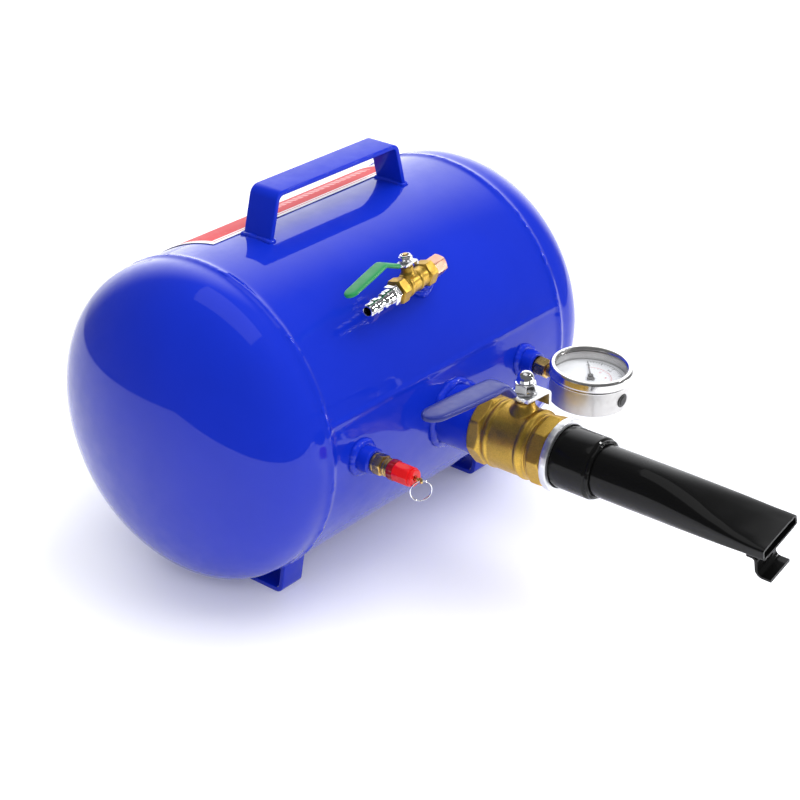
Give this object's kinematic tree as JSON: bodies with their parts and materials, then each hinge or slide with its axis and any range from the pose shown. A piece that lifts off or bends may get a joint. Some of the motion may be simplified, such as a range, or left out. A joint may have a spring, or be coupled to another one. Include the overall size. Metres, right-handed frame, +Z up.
{
  "type": "portable air receiver tank",
  "caption": "Portable horizontal air receiver with a quick-release blast valve, flattened barrel, gauge, relief valve, fill valve, carry handle and two strap feet.",
  "frame": {"origin": "on the floor, at the middle of the bottom of the whole object's box", "axes": "+Z up; +X along the tank, towards the gauge end; -Y along the blast barrel, away from the tank"},
  "size_m": [0.424, 0.5372, 0.2951],
  "materials": {
    "blue_paint": "gloss blue powder coat over steel",
    "black_paint": "gloss black paint over steel",
    "red_coat": "gloss red coating over brass",
    "brass": "cast and machined yellow brass",
    "coppery_brass": "machined brass with a pinkish tone",
    "zinc_plate": "bright zinc plate over steel",
    "stainless": "polished and brushed stainless steel",
    "spring_steel": "plain drawn spring wire",
    "chrome": "bright chrome plate",
    "blue_vinyl": "dipped blue vinyl",
    "green_vinyl": "dipped green vinyl",
    "seat_plastic": "white fluoropolymer",
    "black_rubber": "moulded black rubber",
    "glass": "clear flat lens",
    "dial_card": "white printed dial plate",
    "label_print": "printed film, red and white blocks, no text"
  },
  "bodies": {
    "tank": {"shell": "blue_paint", "head_left": "blue_paint", "head_right": "blue_paint", "carry_handle": "blue_paint", "foot_left": "blue_paint", "foot_right": "blue_paint", "label": "label_print", "outlet_pipe": "blue_paint", "lock_ring": "zinc_plate", "barrel_nipple": "black_paint", "barrel_tube": "black_paint", "barrel_hook": "black_paint", "main_valve_body": "brass", "main_valve_end_cap": "brass", "main_seat_inner": "seat_plastic", "main_seat_outer": "seat_plastic", "main_stem_packing": "seat_plastic", "main_gland_nut": "brass", "relief_bung": "blue_paint", "relief_body": "brass", "relief_cap": "red_coat", "relief_spring": "spring_steel", "gauge_bung": "blue_paint", "gauge_socket": "brass", "gauge_case": "stainless", "gauge_bezel": "stainless", "gauge_lens": "glass", "gauge_dial": "dial_card", "gauge_movement_frame": "brass", "bourdon_tube": "brass", "gauge_fill_plug": "black_rubber", "fill_bung": "blue_paint", "fill_elbow": "coppery_brass", "fill_valve_body": "brass", "fill_valve_end_cap": "brass", "fill_seat_inner": "seat_plastic", "fill_seat_outer": "seat_plastic", "fill_stem_packing": "seat_plastic", "fill_gland_nut": "brass", "quick_plug": "chrome"},
    "blast_lever": {"main_ball": "chrome", "main_stem": "brass", "main_lever_nut": "zinc_plate", "main_lever": "zinc_plate", "main_lever_grip": "blue_vinyl"},
    "fill_lever_set": {"fill_ball": "chrome", "fill_stem": "brass", "fill_lever_nut": "zinc_plate", "fill_lever": "zinc_plate", "fill_lever_grip": "green_vinyl"},
    "sector": {"gauge_sector": "brass"},
    "needle": {"gauge_needle": "black_paint"},
    "poppet": {"relief_poppet": "brass"},
    "pull_ring": {"relief_ring": "chrome"}
  },
  "joints": [
    {"name": "blast_valve_turn", "type": "hinge", "parent": "tank", "child": "blast_lever", "pos_m": [0, -0.0492, 0.1242], "axis": [0, 0, 1], "range_deg": [0, 90]},
    {"name": "fill_valve_turn", "type": "hinge", "parent": "tank", "child": "fill_lever_set", "pos_m": [-0.02757, 0.03792, 0.23519], "axis": [-0.076, 0.1279, 0.9889], "range_deg": [0, 90]},
    {"name": "gauge_sector_turn", "type": "hinge", "parent": "tank", "child": "sector", "pos_m": [0.0712, -0.04576, 0.13614], "axis": [0, -0.0698, 0.9976], "range_deg": [0, 45]},
    {"name": "gauge_needle_sweep", "type": "hinge", "parent": "tank", "child": "needle", "pos_m": [0.089, -0.04576, 0.13614], "axis": [0, -0.0698, 0.9976], "range_deg": [-270, 0]},
    {"name": "relief_pull", "type": "slide", "parent": "tank", "child": "poppet", "axis": [0, -1, 0], "range_m": [0, 0.003], "stiffness_N_per_m": 800, "deforming": ["relief_spring"]},
    {"name": "relief_ring_swing", "type": "hinge", "parent": "poppet", "child": "pull_ring", "pos_m": [-0.106, -0.0378, 0.1316], "axis": [-0.8191, 0.5736, 0], "range_deg": [0, 90]}
  ],
  "couplings": [
    {"joint": "gauge_needle_sweep", "follows": "gauge_sector_turn", "ratio": -6}
  ]
}
